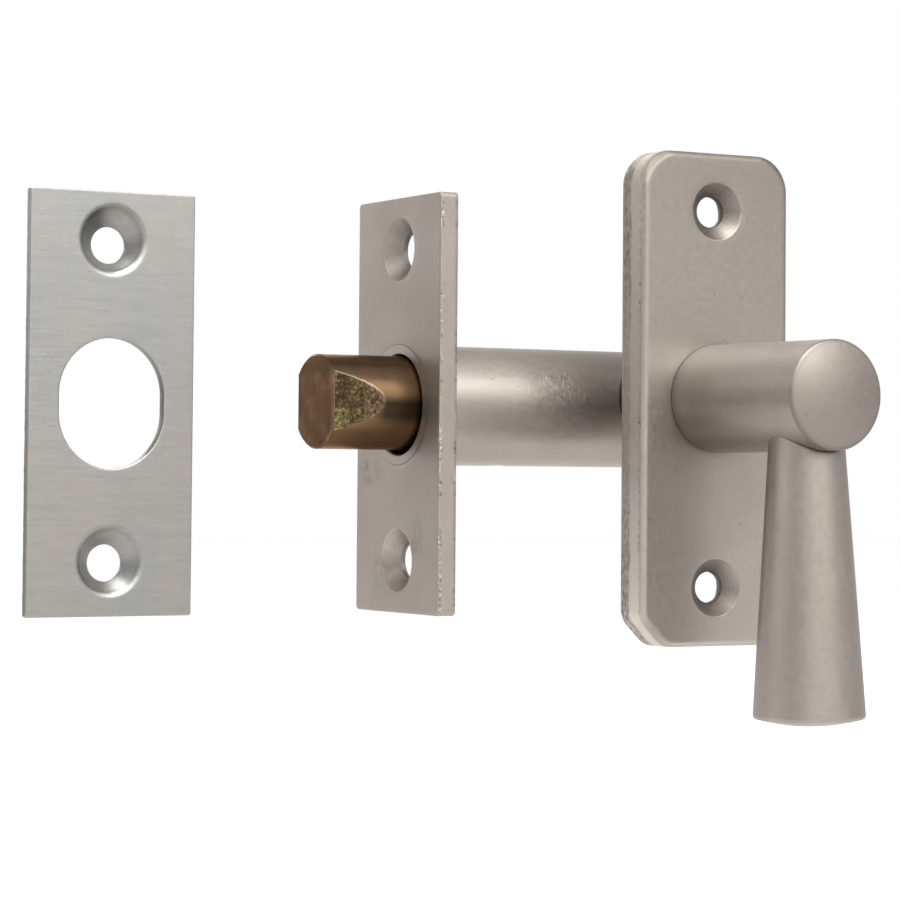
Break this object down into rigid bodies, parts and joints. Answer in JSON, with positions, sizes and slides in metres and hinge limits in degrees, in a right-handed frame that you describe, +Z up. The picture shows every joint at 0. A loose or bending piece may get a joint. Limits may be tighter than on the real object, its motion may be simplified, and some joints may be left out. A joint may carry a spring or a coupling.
{
  "type": "mortise bolt",
  "caption": "Tubular mortise bolt with countersunk forend, lever handle on a rectangular plate, rack drive and separate strike plate.",
  "frame": {"origin": "where the axis of the barrel meets the back face of the forend, the face that seats in the edge of the door", "axes": "+Z up; the barrel runs back along +X and the bolt is thrown towards -X; the handle plate faces -Y"},
  "size_m": [0.1127, 0.0686, 0.0805],
  "materials": {
    "satin_nickel": "satin nickel plate",
    "brushed_plate": "brushed across its width",
    "passivated_steel": "yellow passivated, rough on the slanted flats",
    "plain_steel": "plain machined steel",
    "black_steel": "blackened steel",
    "cast_zinc": "die cast zinc",
    "nylon": "natural nylon"
  },
  "bodies": {
    "root": {"forend": "satin_nickel", "barrel_tube": "satin_nickel", "end_plug": "plain_steel", "end_plug_pin": "plain_steel", "guide_pin": "plain_steel", "near_bearing": "cast_zinc", "far_bearing": "cast_zinc", "handle_plate": "satin_nickel", "spindle_bush": "nylon", "thrust_washer": "plain_steel", "wave_washer": "plain_steel", "strike_plate": "brushed_plate"},
    "lever": {"lever_hub": "satin_nickel", "lever_grip": "satin_nickel", "grip_stud": "plain_steel", "grub_screw": "black_steel", "spindle": "plain_steel", "drive_pinion": "cast_zinc", "retaining_ring": "plain_steel"},
    "bolt": {"lock_bolt": "passivated_steel", "friction_ball": "plain_steel", "friction_spring": "plain_steel"}
  },
  "joints": [
    {"name": "lever_turn", "type": "hinge", "parent": "root", "child": "lever", "pos_m": [0.0352, -0.03, 0.0011], "axis": [0, -1, 0], "range_deg": [0, 180]},
    {"name": "bolt_slide", "type": "slide", "parent": "root", "child": "bolt", "axis": [1, 0, 0], "range_m": [0, 0.01343]}
  ],
  "couplings": [
    {"joint": "bolt_slide", "follows": "lever_turn", "m_per_rad": 0.004275}
  ]
}
